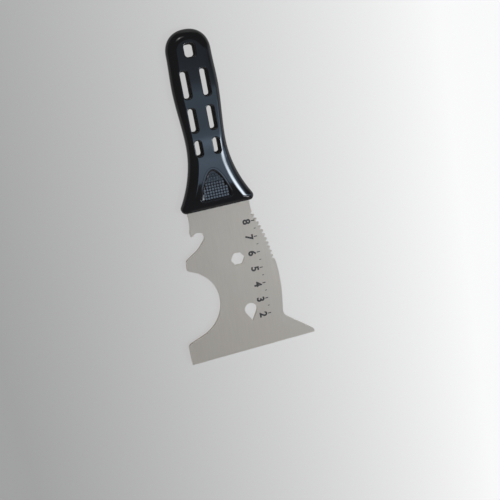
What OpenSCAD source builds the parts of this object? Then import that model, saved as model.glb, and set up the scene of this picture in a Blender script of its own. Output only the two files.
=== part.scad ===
// Steel scraper: a stamped steel plate held between the two halves of a moulded handle.
// It lies flat with its front up. X runs along the scraping edge, Y from the edge to the
// butt of the handle, and Z up. The origin is under the middle of the tool, at its lowest face.
// Inside the modules the plate and the handle share one set of axes: x = 0 is the handle's
// axis, y = 0 the scraping edge and z = 0 the plane where the handle's halves meet.

/* [Plate] */
// Width of the scraping edge
edge_w = 80; // [74:1:96]
// How far the middle of the edge lies to the right of the handle's axis
edge_shift = 5.7; // [2:0.1:8]
// Free length of the plate, from the edge to the mouth of the handle
blade_l = 93.2; // [92:0.1:110]
// Thickness of the plate
blade_t = 1.5; // [1:0.1:2]
// Width of the neck that enters the handle
neck_w = 38.2; // [36:0.1:39]
// Height of the upright end at the left of the edge
heel_h = 13; // [9:0.5:15]
// Height of the upright end at the right of the edge
toe_h = 1.9; // [1:0.1:4]
// Width of the bevel ground on the back of the edge
bevel_w = 3; // [1:0.5:6]
// Thickness left at the ground edge
edge_t = 0.4; // [0.2:0.1:0.8]

/* [Plate cut-outs] */
// Radius of the recess that wipes a paint roller
roller_r = 21.9; // [19:0.1:23]
// Height of the roller recess's centre above the edge
roller_y = 37.2; // [35:0.1:40]
// Radius of the round notch behind the hook
hook_r = 3.5; // [2.5:0.1:4]
// Height of the notch's centre above the edge
hook_y = 76.9; // [75:0.1:79]
// Width across the flats of the hexagonal hole
hex_af = 7.5; // [5:0.1:9]
// Radius of the round end of the teardrop hole
drop_r = 3.9; // [2.5:0.1:5]
// Distance from the teardrop's round end to its point
drop_reach = 7.7; // [6:0.1:10]
// Length of the saw along its arc
saw_l = 31.1; // [20:0.1:34]
// Distance from one saw tooth to the next
saw_pitch = 2.83; // [2:0.01:4]
// Height of the saw teeth
saw_h = 1.15; // [0.6:0.05:1.5]

/* [Handle] */
// Length of the handle
handle_l = 103.8; // [98:0.1:130]
// Thickness of the handle, over both halves
handle_t = 8; // [7:0.1:11]
// Width at the mouth, where the flanks would meet it without rounded corners
mouth_w = 48.8; // [46:0.1:56]
// Width at the waist
waist_w = 23.9; // [22:0.1:28]
// Width at the belly
belly_w = 27.4; // [25:0.1:32]
// Width at the start of the round butt
butt_w = 26.2; // [24:0.1:30]
// Distance from the mouth to the waist
waist_s = 39; // [34:0.5:42]
// Distance from the mouth to the belly
belly_s = 71.7; // [66:0.1:80]
// Radius of the corners beside the mouth
mouth_r = 2.8; // [1.5:0.1:3]
// Width of the rounded flank all round the flat face
flank_w = 6.2; // [4:0.1:7]
// Length of the rounding that runs down to the mouth
lip_l = 3; // [1:0.1:4]
// Height of the lip above the parting plane at the mouth
lip_h = 2.6; // [1.6:0.1:3]

/* [Windows] */
// Width of the hang hole
hang_w = 6.6; // [5:0.1:8]
// Length of the hang hole
hang_l = 7.6; // [5.5:0.1:10]
// Distance from the butt to the middle of the hang hole
hang_s = 12; // [10:0.1:14]
// Corner radius of the hang hole
hang_r = 2.1; // [1:0.1:2.4]
// Corner radius of the six slots
slot_r = 1.8; // [0.8:0.1:2]
// Bevel round the mouth of each window
window_bevel = 0.5; // [0.2:0.1:1]

/* [Thumb grip] */
// Width of the arched groove at its foot
grip_w = 19; // [15:0.5:22]
// Height of the arched groove
grip_h = 18.7; // [14:0.1:21]
// Distance from the mouth to the foot of the groove
grip_s = 4.8; // [4:0.1:8]
// Width of the rim between the groove and the recess
rim_w = 1.5; // [1:0.1:2.5]
// Depth of the recess below the face
grip_d = 0.8; // [0.4:0.1:1]
// Width of the groove round the rim
groove_w = 0.5; // [0.3:0.1:0.8]

/* [Fits] */
// Diameter of the pegs that pass through the tang
tang_peg_d = 6; // [4:0.1:7]
// Diameter of the pegs that join the grip
grip_peg_d = 4; // [3:0.1:4.5]
// Length of the pegs beyond the parting plane
peg_l = 2; // [1.4:0.1:2.2]
// Clearance round the tang, between it and the handle
tang_gap = 0.1; // [0.05:0.05:0.2]
// Clearance round each peg in its socket
peg_gap = 0.1; // [0.05:0.05:0.2]
// Clearance round each peg in the tang's holes
hole_gap = 0.3; // [0.2:0.1:0.6]

/* [Hidden] */
steel = "#a3a29f";
plastic = "#1c1d20";
total_l = blade_l + handle_l;
half_t = handle_t / 2;
left = edge_shift - edge_w / 2;
right = edge_shift + edge_w / 2;
arc_step = 6;
over = 1;
$fn = 64;

// Plate outline: corners [x, y, radius], counter-clockwise from the left end of the edge.
// A half turn round a circle is two corners, which lie on the circle's tangents.
roller_x = left + 2.7;
roller_turn = 70.4;
roller_bend = roller_r * tan(roller_turn / 2);
hook_x = -15.4;
hook_bend = hook_r * 1.37;
saw_foot = [27, 54.1];
saw_arc_r = 108;
saw_heading = 96.5;
saw_n = round(saw_l / saw_pitch);
saw_lean = 0.42;
hex_at = [5.7, 58.8];
drop_at = [7.9, 25.5];
tang_l = 27;
tang_end_w = 17;
tang_shoulder_s = 1.6;
before_saw = [
    [left, 0, 0.5], [right, 0, 0.3], [right, toe_h, 1.5],
    [27.4, 16.7, 6.1], [30.4, 39.4, 90], [28.5, 53.3, 0.9]];
after_saw = [[neck_w / 2 + 0.4, 85.7, 1.2], [neck_w / 2, 88.6, 4]];
after_tang = [
    [-neck_w / 2, 84.9, 6], [-20, 81.2, 2.5], [-19.7, hook_y + 0.9, 0.65],
    [hook_x + 0.2, hook_y + hook_bend, hook_r], [hook_x + hook_bend, hook_y + 0.1, hook_r],
    [-17.3, 70, 10], [-25.4, 65.1, 1.8], [-26.3, 58.7, 2.2],
    [roller_x + roller_r, roller_y + roller_bend, roller_r],
    [roller_x + roller_r, roller_y - roller_bend, roller_r],
    [left, heel_h, 2.5]];

// Handle section and outline
butt_s = handle_l - butt_w / 2;
butt_power = 2.2;
seam_h = 0.4;
land_r = 0.8;
flank_foot = 2 * mouth_r;
corner_n = 6;
flank_n = 24;
butt_n = 10;
round_n = 6;
grip_shoulder = 0.18;
arch_n = 12;
// Slots, two of each: [distance off the axis, distance from the mouth, width, length]
slots = [[5.35, 36.2, 4.3, 9.4], [5.55, 52.6, 4.6, 14], [5.75, 73.1, 4.8, 15.8]];
// Pegs: [distance off the axis, distance from the mouth]
tang_pegs = [[-8, 10.5], [8, 10.5], [0, 20.5]];
grip_pegs = [[0, 44.6], [0, 62.6], [0, 83.6]];

// Turn of a path at b, in degrees, left positive
function turn(a, b, c) = atan2(cross(b - a, c - b), (b - a) * (c - b));
function unit(v) = v / norm(v);
function lerp(a, b, t) = a + (b - a) * t;
function ease(t) = let (x = min(1, max(0, t))) x * x * (3 - 2 * x);
function xy(p) = [p[0], p[1]];

// Arc that rounds the corner b over a tangent length, in n steps
function arc(a, b, c, tangent, n) =
    let (
        bend = turn(a, b, c),
        r = tangent / tan(abs(bend) / 2),
        u = unit(b - a),
        side = bend > 0 ? 1 : -1,
        centre = b - u * tangent + side * r * [-u.y, u.x])
    [for (k = [0:n]) let (g = atan2(u.y, u.x) + bend * k / n) centre + side * r * [sin(g), -cos(g)]];

// Closed outline through corners [x, y, radius]. Where two arcs want more than the straight
// between them, both give way.
function outline(corners) =
    let (
        n = len(corners),
        p = [for (c = corners) xy(c)],
        bend = [for (i = [0:n - 1]) turn(p[(i + n - 1) % n], p[i], p[(i + 1) % n])],
        want = [for (i = [0:n - 1]) corners[i][2] * tan(abs(bend[i]) / 2)],
        room = [for (i = [0:n - 1])
            let (j = (i + 1) % n) min(1, norm(p[j] - p[i]) / max(0.001, want[i] + want[j]))])
    [for (i = [0:n - 1])
        let (
            tangent = want[i] * min(room[i], room[(i + n - 1) % n]),
            steps = max(1, ceil(abs(bend[i]) / arc_step)))
        each tangent < 0.001 ? [p[i]] : arc(p[(i + n - 1) % n], p[i], p[(i + 1) % n], tangent, steps)];

// Point on the saw's arc, at a length along it and a height off it
saw_centre = saw_foot + saw_arc_r * [-sin(saw_heading), cos(saw_heading)];
function saw_at(along, off) =
    let (g = saw_heading + along / saw_arc_r * 180 / PI)
    saw_centre + (saw_arc_r + off) * [sin(g), -cos(g)];
saw_step = saw_l / saw_n;
saw = [for (k = [0:saw_n])
    each concat(
        [concat(saw_at(k * saw_step, 0), 0)],
        k < saw_n ? [concat(saw_at((k + saw_lean) * saw_step, saw_h), 0)] : [])];

// Tang: its free outline inside the handle, grown by a clearance
function tang(gap) = [
    [neck_w / 2 + gap, blade_l + tang_shoulder_s + gap, 3],
    [tang_end_w / 2 + gap, blade_l + tang_l + gap, 3],
    [-tang_end_w / 2 - gap, blade_l + tang_l + gap, 3],
    [-neck_w / 2 - gap, blade_l + tang_shoulder_s + gap, 3]];

// Half width of the handle, and of its flat face, at a distance from the mouth
function flank(s) =
    waist_w / 2
    + (mouth_w - waist_w) / 2 * pow(max(0, 1 - s / waist_s), 2)
    + (belly_w - waist_w) / 2 * ease((s - waist_s) / (belly_s - waist_s))
    - (belly_w - butt_w) / 2 * ease((s - belly_s) / (butt_s - belly_s));
function land(s) = flank(s) - flank_w * norm([1, flank(s + 0.5) - flank(s - 0.5)]);
function butt(a, inset) = [
    (butt_w / 2 - inset) * pow(cos(a), 2 / butt_power),
    butt_s + (butt_w / 2 - inset) * pow(sin(a), 2 / butt_power)];
function corner(s, edge, r) =
    let (a = [0, s], b = [edge[0], s], c = [edge[1], s + flank_foot])
    arc(a, b, c, r * tan(turn(a, b, c) / 2), corner_n);

// Right side of the handle's outline and of its flat face, point for point
outer_side = concat(
    corner(0, [flank(0), flank(flank_foot)], mouth_r),
    [for (i = [1:flank_n]) let (s = lerp(flank_foot, butt_s, i / flank_n)) [flank(s), s]],
    [for (i = [1:butt_n]) butt(90 * i / butt_n, 0)]);
inner_side = concat(
    corner(lip_l, [land(lip_l), land(lip_l + flank_foot)], land_r),
    [for (i = [1:flank_n]) let (s = lerp(lip_l + flank_foot, butt_s, i / flank_n)) [land(s), s]],
    [for (i = [1:butt_n]) butt(90 * i / butt_n, flank_w)]);
seam_side = [for (i = [0:len(outer_side) - 1]) lerp(lip_h, seam_h, min(1, i / corner_n))];
function mirrored(side) = concat(side, [for (i = [len(side) - 2:-1:0]) [-side[i].x, side[i].y]]);

// Plain half of the handle: flat face, rounded flanks and butt, lip at the mouth
module half_body() {
    outer = mirrored(outer_side);
    inner = mirrored(inner_side);
    seam = concat(seam_side, [for (i = [len(seam_side) - 2:-1:0]) seam_side[i]]);
    n = len(outer);
    top = round_n + 1;
    points = [for (k = [0:top], i = [0:n - 1])
        let (
            a = max(0, k - 1) * 90 / round_n,
            p = lerp(inner[i], outer[i], cos(a)),
            z = k == 0 ? 0 : lerp(seam[i], half_t, sin(a)))
        [p.x, blade_l + p.y, z]];
    sides = [for (k = [0:top - 1], i = [0:n - 1])
        let (a = k * n + i, b = k * n + (i + 1) % n)
        each [[a, a + n, b + n], [a, b + n, b]]];
    // Both flat faces are strips laid across the axis, from one flank to the other
    apex = (n - 1) / 2;
    caps = [for (base = [0, top * n], i = [0:apex - 1])
        let (
            strip = [base + i, base + n - 1 - i, base + n - 2 - i, base + i + 1],
            ring = base == 0 ? [for (j = [3:-1:0]) strip[j]] : strip)
        each i == apex - 1
            ? [base == 0 ? [ring[1], ring[2], ring[3]] : [ring[0], ring[1], ring[2]]]
            : [[ring[0], ring[1], ring[2]], [ring[0], ring[2], ring[3]]]];
    polyhedron(points, concat(caps, sides), convexity = 6);
}

module rounded_rect(w, l, r) {
    square([w - 2 * r, l], center = true);
    square([w, l - 2 * r], center = true);
    for (x = [-1, 1], y = [-1, 1])
        translate([x * (w / 2 - r), y * (l / 2 - r)])
            circle(r);
}

// Window through one half, with a bevel at the face
module window(x, s, w, l, r) {
    wide = window_bevel + over;
    translate([x, blade_l + s, 0]) {
        translate([0, 0, -over])
            linear_extrude(handle_t)
                rounded_rect(w, l, r);
        translate([0, 0, half_t - window_bevel]) {
            rotate([90, 0, 0])
                linear_extrude(l - 2 * r, center = true)
                    polygon([[-w / 2, 0], [w / 2, 0], [w / 2 + wide, wide], [-w / 2 - wide, wide]]);
            rotate([90, 0, 90])
                linear_extrude(w - 2 * r, center = true)
                    polygon([[-l / 2, 0], [l / 2, 0], [l / 2 + wide, wide], [-l / 2 - wide, wide]]);
            for (cx = [-1, 1], cy = [-1, 1])
                translate([cx * (w / 2 - r), cy * (l / 2 - r), 0])
                    cylinder(wide, r1 = r, r2 = r + wide);
        }
    }
}

module windows() {
    window(0, handle_l - hang_s, hang_w, hang_l, hang_r);
    for (slot = slots, side = [-1, 1])
        window(side * slot[0], slot[1], slot[2], slot[3], slot_r);
}

// Arched outline on a straight foot, drawn in by an inset
function arch_w(inset) = grip_w / 2 - inset;
function arch_shoulder(inset) = inset + (grip_h - 2 * inset) * grip_shoulder;
function arch_y(x, inset) =
    lerp(grip_h - inset, arch_shoulder(inset), pow(x / arch_w(inset), 2));
function arch(inset) =
    let (
        w = arch_w(inset),
        shoulder = arch_shoulder(inset),
        tangent = (shoulder - inset) * 0.9)
    concat(
        arc([0, inset], [w, inset], [w, shoulder], tangent, corner_n),
        [for (i = [1:2 * arch_n - 1]) let (x = w * (1 - i / arch_n)) [x, arch_y(x, inset)]],
        arc([-w, shoulder], [-w, inset], [0, inset], tangent, corner_n));

// Thumb grip: a fine groove, a rim and a shallow recess
module thumb_recess() {
    translate([0, blade_l + grip_s, 0]) {
        translate([0, 0, half_t - groove_w / 2])
            linear_extrude(over)
                difference() {
                    polygon(arch(0));
                    polygon(arch(groove_w));
                }
        translate([0, 0, half_t - grip_d])
            linear_extrude(over + grip_d)
                polygon(arch(rim_w));
    }
}

// Room for the tang in one half, open at the mouth
module tang_pocket() {
    translate([0, 0, -over])
        linear_extrude(blade_t / 2 + tang_gap + over)
            polygon(outline(concat(
                [[-neck_w / 2 - tang_gap, blade_l - over, 0], [neck_w / 2 + tang_gap, blade_l - over, 0]],
                tang(tang_gap))));
}

module at_pegs(places) {
    for (p = places)
        translate([p[0], blade_l + p[1], 0])
            children();
}

// One half of the handle, face up, with its parting plane at z = 0
module half_handle() {
    difference() {
        half_body();
        windows();
        thumb_recess();
        tang_pocket();
    }
}

// Ground bevel: what the wheel takes off the back of the edge
module bevel_cut() {
    slope = (blade_t - edge_t) / bevel_w;
    edge_z = blade_t / 2 - edge_t;
    reach = bevel_w + over;
    translate([left - over, 0, 0])
        rotate([90, 0, 90])
            linear_extrude(edge_w + 2 * over)
                polygon([
                    [-over, edge_z + slope * over],
                    [-over, edge_z - slope * reach],
                    [reach, edge_z - slope * reach]]);
}

module plate_holes() {
    translate(hex_at)
        circle(hex_af / 2 / cos(30), $fn = 6);
    translate(drop_at) {
        a = acos(drop_r / drop_reach);
        circle(drop_r);
        polygon([[0, -drop_reach], drop_r * [sin(a), -cos(a)], drop_r * [-sin(a), -cos(a)]]);
    }
    for (p = tang_pegs)
        translate([p[0], blade_l + p[1]])
            circle(tang_peg_d / 2 + hole_gap);
}

module in_place() {
    translate([-edge_shift, -total_l / 2, half_t])
        children();
}

module blade() {
    color(steel)
        in_place()
            difference() {
                translate([0, 0, -blade_t / 2])
                    linear_extrude(blade_t)
                        difference() {
                            polygon(outline(concat(before_saw, saw, after_saw, tang(0), after_tang)));
                            plate_holes();
                        }
                bevel_cut();
            }
}

module handle_front() {
    color(plastic)
        in_place() {
            half_handle();
            at_pegs(tang_pegs)
                translate([0, 0, -peg_l])
                    cylinder(peg_l + half_t - grip_d - 1, d = tang_peg_d);
            at_pegs(grip_pegs)
                translate([0, 0, -peg_l])
                    cylinder(peg_l + 1, d = grip_peg_d);
        }
}

module handle_back() {
    color(plastic)
        in_place()
            mirror([0, 0, 1])
                difference() {
                    half_handle();
                    at_pegs(tang_pegs)
                        translate([0, 0, -over])
                            cylinder(over + peg_l + peg_gap, d = tang_peg_d + 2 * peg_gap);
                    at_pegs(grip_pegs)
                        translate([0, 0, -over])
                            cylinder(over + peg_l + peg_gap, d = grip_peg_d + 2 * peg_gap);
                }
}

blade();
handle_front();
handle_back();
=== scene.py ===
import math

import bmesh
import bpy
from mathutils import Matrix, Vector
from mathutils.bvhtree import BVHTree
from mathutils.geometry import delaunay_2d_cdt


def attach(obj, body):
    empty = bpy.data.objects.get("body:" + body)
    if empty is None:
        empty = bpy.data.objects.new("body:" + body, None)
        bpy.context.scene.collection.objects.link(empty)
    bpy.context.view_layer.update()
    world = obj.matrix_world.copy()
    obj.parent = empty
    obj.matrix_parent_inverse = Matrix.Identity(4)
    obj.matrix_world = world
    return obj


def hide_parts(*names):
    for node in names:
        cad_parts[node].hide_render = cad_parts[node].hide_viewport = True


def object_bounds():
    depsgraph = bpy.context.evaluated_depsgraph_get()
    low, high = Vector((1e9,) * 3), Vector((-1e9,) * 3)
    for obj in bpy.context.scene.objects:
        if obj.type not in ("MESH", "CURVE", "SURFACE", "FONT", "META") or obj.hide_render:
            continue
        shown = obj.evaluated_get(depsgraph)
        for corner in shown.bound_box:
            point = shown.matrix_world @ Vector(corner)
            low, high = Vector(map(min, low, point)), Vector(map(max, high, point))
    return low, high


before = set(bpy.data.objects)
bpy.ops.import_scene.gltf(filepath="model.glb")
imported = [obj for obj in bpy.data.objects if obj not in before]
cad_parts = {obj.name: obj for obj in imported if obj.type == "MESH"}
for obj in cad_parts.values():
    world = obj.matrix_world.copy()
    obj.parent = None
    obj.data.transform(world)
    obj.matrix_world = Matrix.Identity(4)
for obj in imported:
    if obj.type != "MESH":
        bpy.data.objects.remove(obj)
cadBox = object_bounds()
mm = 0.001
centimetre = 10  # all sizes below are in millimetres
touching = 0.001  # points of an outline that lie nearer than this are one
print("frame loaded")


def linear(hexColour):  # sRGB hex to the linear colour that Blender works in
    parts = [int(hexColour[i:i + 2], 16) / 255 for i in (1, 3, 5)]
    return [c / 12.92 if c <= 0.04045 else ((c + 0.055) / 1.055) ** 2.4 for c in parts] + [1.0]


def span(side, ends):  # the settings for one side of a range
    return {side + " Min": ends[0], side + " Max": ends[1]}


def addNode(tree, kind, settings=None, links=None):
    # A node with its settings and its links, where a linked node stands for its first output
    node = tree.nodes.new(kind)
    for key, value in (settings or {}).items():
        if isinstance(key, int) or key in node.inputs:
            node.inputs[key].default_value = value
        else:
            setattr(node, key, value)
    for key, source in (links or {}).items():
        output = source.outputs[0] if isinstance(source, bpy.types.Node) else source
        tree.links.new(output, node.inputs[key])
    return node


def newMaterial(name):  # a material, its empty tree and the coordinates of the piece it is on
    material = bpy.data.materials.new(name)
    material.use_nodes = True
    tree = material.node_tree
    tree.nodes.clear()
    return material, tree, addNode(tree, "ShaderNodeTexCoord").outputs["Object"]


def linkObject(name, data):
    piece = bpy.data.objects.new(name, data)
    bpy.context.scene.collection.objects.link(piece)
    return piece


def evaluated(piece):  # a plain mesh of what a piece's curves or modifiers make
    bpy.context.view_layer.update()
    depsgraph = bpy.context.evaluated_depsgraph_get()
    return bpy.data.meshes.new_from_object(piece.evaluated_get(depsgraph))


def bakeModifiers(piece):  # what its modifiers make takes the place of the piece's own mesh
    mesh = evaluated(piece)
    piece.modifiers.clear()
    piece.data = mesh


def meshOf(curve):  # a curve or a text made a mesh
    drawn = linkObject(curve.name, curve)
    mesh = evaluated(drawn)
    bpy.data.objects.remove(drawn)
    return mesh


def openMesh(mesh):
    work = bmesh.new()
    work.from_mesh(mesh)
    return work


def closeMesh(work, mesh):  # puts the work into the mesh and reports it
    openEdges = sum(1 for e in work.edges if not e.is_manifold)
    print(mesh.name, "faces", len(work.faces), "open edges", openEdges)
    work.to_mesh(mesh)
    work.free()
    return mesh


def smoothBelow(mesh, degrees):
    mesh.shade_smooth()
    mesh.set_sharp_from_angle(angle=math.radians(degrees))


def growPiece(name, sizes, material, layOut):
    # A plain mesh from a node tree, whose sizes and material are named inputs set by identifier.
    # layOut adds the nodes that are the piece's own, up to the instances.
    tree = bpy.data.node_groups.new(name, "GeometryNodeTree")
    tree.is_modifier = True
    addSocket, inputs = tree.interface.new_socket, {}
    kinds = {int: "NodeSocketInt", float: "NodeSocketFloat"}
    addSocket("Geometry", in_out="INPUT", socket_type="NodeSocketGeometry")
    for label, value in (sizes | {"Material": material}).items():
        kind = kinds.get(type(value), "NodeSocketMaterial")
        inputs[addSocket(label, in_out="INPUT", socket_type=kind).identifier] = value
    addSocket("Geometry", in_out="OUTPUT", socket_type="NodeSocketGeometry")
    given = addNode(tree, "NodeGroupInput").outputs
    solid = addNode(tree, "GeometryNodeRealizeInstances", links={0: layOut(tree, given)})
    painted = addNode(tree, "GeometryNodeSetMaterial", links={
        0: solid, "Material": given["Material"]})
    addNode(tree, "NodeGroupOutput", links={0: painted})
    piece = linkObject(name, bpy.data.meshes.new(name))
    modifier = piece.modifiers.new(name, "NODES")
    modifier.node_group = tree
    for identifier, value in inputs.items():
        modifier[identifier] = value
    bakeModifiers(piece)
    piece.data.materials.pop(index=0)  # the empty slot of the mesh that the tree started from
    return piece


def between(ends, share):  # the value at a share of the way from one end to the other
    return ends[0] + (ends[1] - ends[0]) * share


def ease(s, start=0, end=1):  # goes softly from 0 to 1 between two places
    t = min(1, max(0, (s - start) / (end - start)))
    return t * t * (3 - 2 * t)


def arc(a, b, c, tangent, steps):  # rounds the corner b over a tangent length
    u, v = (b - a).normalized(), (c - b).normalized()
    bend = math.atan2(u.x * v.y - u.y * v.x, u.dot(v))
    side = 1 if bend > 0 else -1
    radius = tangent / math.tan(abs(bend) / 2)
    centre = b - u * tangent + side * radius * Vector((-u.y, u.x))
    start = math.atan2(u.y, u.x)
    turns = [start + bend * k / steps for k in range(steps + 1)]
    return [centre + side * radius * Vector((math.sin(g), -math.cos(g))) for g in turns]


def roundedPath(corners, step, closed=True):
    # An outline through corners given as [x, y, radius], with a point on every so many degrees of
    # an arc. Crowded arcs give way.
    n = len(corners)
    points = [Vector(c[:2]) for c in corners]
    ways = [points[(i + 1) % n] - points[i] for i in range(n)]
    bend, want = [], []
    for i in range(n):
        u, v = ways[i - 1], ways[i]
        ends = not closed and i in (0, n - 1)
        bend.append(0 if ends else math.atan2(u.x * v.y - u.y * v.x, u.dot(v)))
        want.append(corners[i][2] * math.tan(abs(bend[i]) / 2))
    room = [min(1, ways[i].length / max(touching, want[i] + want[(i + 1) % n])) for i in range(n)]
    outline = []
    for i in range(n):
        tangent = want[i] * min(room[i], room[i - 1])
        steps = max(1, math.ceil(math.degrees(abs(bend[i])) / step))
        outline += [points[i]] if tangent < touching else arc(
            points[i - 1], points[i], points[(i + 1) % n], tangent, steps)
    # Arcs that touch share a point
    return [p for i, p in enumerate(outline) if (p - outline[i - 1]).length > touching]


def ringAt(centre, radius, count, start=0.0, sweep=None):  # a ring, or an arc with both its ends
    turn, parts = (360.0, count) if sweep is None else (sweep, count - 1)
    angles = [math.radians(start + turn * k / parts) for k in range(count)]
    return [Vector(centre) + radius * Vector((math.cos(g), math.sin(g))) for g in angles]


def outlines(loops):  # the points of closed loops and the edges between them
    points, edges = [], []
    for loop in loops:
        first, n = len(points), len(loop)
        points += loop
        edges += [(first + k, first + (k + 1) % n) for k in range(n)]
    return points, edges


def fillIn(points, edges, apart=1e-6):
    # Triangles between the edges, each with its middle. With them come the points they use and,
    # for each of those, the given points that it stands for.
    onlyInside = 1
    found, _, faces, origins, _, _ = delaunay_2d_cdt(points, edges, [], onlyInside, apart)
    middles = [sum((found[i] for i in face), Vector((0, 0))) / len(face) for face in faces]
    return found, origins, list(zip(faces, middles))


def insideLoop(p, loop):
    inside = False
    for a, b in zip(loop, loop[1:] + loop[:1]):
        if (a.y > p.y) != (b.y > p.y) and p.x < a.x + (p.y - a.y) * (b.x - a.x) / (b.y - a.y):
            inside = not inside
    return inside


# The tool's own axes, as in the part's source: x from the handle's axis, y from the scraping
# edge, z from the plane where the handle's halves meet, all in millimetres.
tool = {"shift": 5.7, "bladeLength": 93.2, "handleLength": 103.8, "handleThickness": 8.0}
tool["totalLength"] = tool["bladeLength"] + tool["handleLength"]
halfThickness = tool["handleThickness"] / 2
toRow = Matrix.Translation(
    Vector((-tool["shift"], -tool["totalLength"] / 2, halfThickness)) * mm) @ Matrix.Scale(mm, 4)


# Each look gives its two colours and the sizes of its patterns, in millimetres
plasticLook = {
    "colours": ("#09090a", "#131315"), "cloud": 9, "haze": (0.35, 0.75), "roughness": (0.028, 0.05),
    "rub": 0.5, "rubTurn": 24, "rubStretch": 0.06, "rubbed": (0.62, 0.8), "rubRoughness": 0.04,
    "peel": 2.6, "peelDepth": 0.0008, "grain": 0.25, "grainDepth": 0.0002,
}
# The pips' tops get a paler grey: thumb wear, and a painted sheen that lightens them
pipWearAndSheenLook = plasticLook | {"colours": ("#2b2c2f", "#37383b"), "roughness": (0.06, 0.1)}


def glossPlastic(name, look):
    # Glossy black polypropylene, moulded against a polished tool: near black, with a mirror-like
    # skin, the faint ripple that moulding leaves and hairline rubs where it has been handled. On
    # the tops of the pips, thumbs have greyed it and taken off a little of the gloss, and that
    # paler grey is also a painted sheen that lightens those tops. Real rubs and grain are finer
    # than a pixel, so both are drawn coarse enough to show.
    material, tree, where = newMaterial(name)
    cloud = addNode(tree, "ShaderNodeTexNoise", {
        "Scale": 1 / (look["cloud"] * mm), "Detail": 3.0}, {"Vector": where})
    rubWhere = addNode(tree, "ShaderNodeMapping", {
        "Rotation": (0, 0, math.radians(look["rubTurn"])),
        "Scale": (1.0, look["rubStretch"], 1.0)}, {"Vector": where})
    rubs = addNode(tree, "ShaderNodeTexNoise", {
        "Scale": 1 / (look["rub"] * mm), "Detail": 2.0, "Roughness": 0.6}, {"Vector": rubWhere})
    rubMask = addNode(tree, "ShaderNodeMapRange", span("From", look["rubbed"]), {"Value": rubs})
    haze = addNode(tree, "ShaderNodeMapRange",
                   span("From", look["haze"]) | span("To", look["roughness"]), {"Value": cloud})
    roughness = addNode(tree, "ShaderNodeMath", {
        "operation": "MULTIPLY_ADD", 1: look["rubRoughness"]}, {0: rubMask, 2: haze})
    dark, pale = (linear(colour) for colour in look["colours"])
    colour = addNode(tree, "ShaderNodeMix", {"data_type": "RGBA", 6: dark, 7: pale}, {
        "Factor": cloud})
    peel = addNode(tree, "ShaderNodeTexNoise", {
        "Scale": 1 / (look["peel"] * mm), "Detail": 1.5}, {"Vector": where})
    grain = addNode(tree, "ShaderNodeTexNoise", {
        "Scale": 1 / (look["grain"] * mm), "Detail": 2.0}, {"Vector": where})
    ripple = addNode(tree, "ShaderNodeBump", {
        "Strength": 1.0, "Distance": look["peelDepth"] * mm}, {"Height": peel})
    skin = addNode(tree, "ShaderNodeBump", {
        "Strength": 0.6, "Distance": look["grainDepth"] * mm}, {"Height": grain, "Normal": ripple})
    shader = addNode(tree, "ShaderNodeBsdfPrincipled", {"IOR": 1.49}, {
        "Base Color": colour.outputs[2], "Roughness": roughness, "Normal": skin})
    addNode(tree, "ShaderNodeOutputMaterial", links={"Surface": shader})
    return material


# The same polypropylene where the mould's steel cores were spark eroded and never polished, in
# the walls of the windows: a dull, even black that takes up the light that falls into them. Its
# pits are drawn a few times coarser than real ones, so that they show.
erodedLook = {
    "colours": ("#0a0706", "#16100e"), "speck": 0.12, "roughness": (0.72, 0.9),
    "strength": 0.8, "depth": 0.01, "ior": 1.49, "specular": 0.15,
}
# Solvent ink, pad printed: matt black, thin enough to thin out a little over the steel's lines.
# Its specks are drawn a few times coarser than real ones, so that they show.
inkLook = {
    "colours": ("#1c1a1a", "#3a3735"), "speck": 0.4, "roughness": (0.45, 0.65),
    "strength": 0.4, "depth": 0.004, "ior": 1.5, "specular": 0.5,
}


def speckledMatt(name, look):
    material, tree, where = newMaterial(name)
    speck = addNode(tree, "ShaderNodeTexNoise", {
        "Scale": 1 / (look["speck"] * mm), "Detail": 3.0}, {"Vector": where})
    dark, pale = (linear(colour) for colour in look["colours"])
    colour = addNode(tree, "ShaderNodeMix", {"data_type": "RGBA", 6: dark, 7: pale}, {
        "Factor": speck})
    roughness = addNode(tree, "ShaderNodeMapRange", span("To", look["roughness"]), {"Value": speck})
    relief = addNode(tree, "ShaderNodeBump", {
        "Strength": look["strength"], "Distance": look["depth"] * mm}, {"Height": speck})
    shader = addNode(tree, "ShaderNodeBsdfPrincipled", {
        "IOR": look["ior"], "Specular IOR Level": look["specular"]}, {
        "Base Color": colour.outputs[2], "Roughness": roughness, "Normal": relief})
    addNode(tree, "ShaderNodeOutputMaterial", links={"Surface": shader})
    return material


steelLook = {
    "colours": ("#d5cfc5", "#d8cec3"), "cloud": 22, "line": 0.22, "lineStretch": 0.02,
    "lineDepth": 0.0010, "lines": (0.3, 0.7), "roughness": (0.66, 0.76),
}


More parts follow.
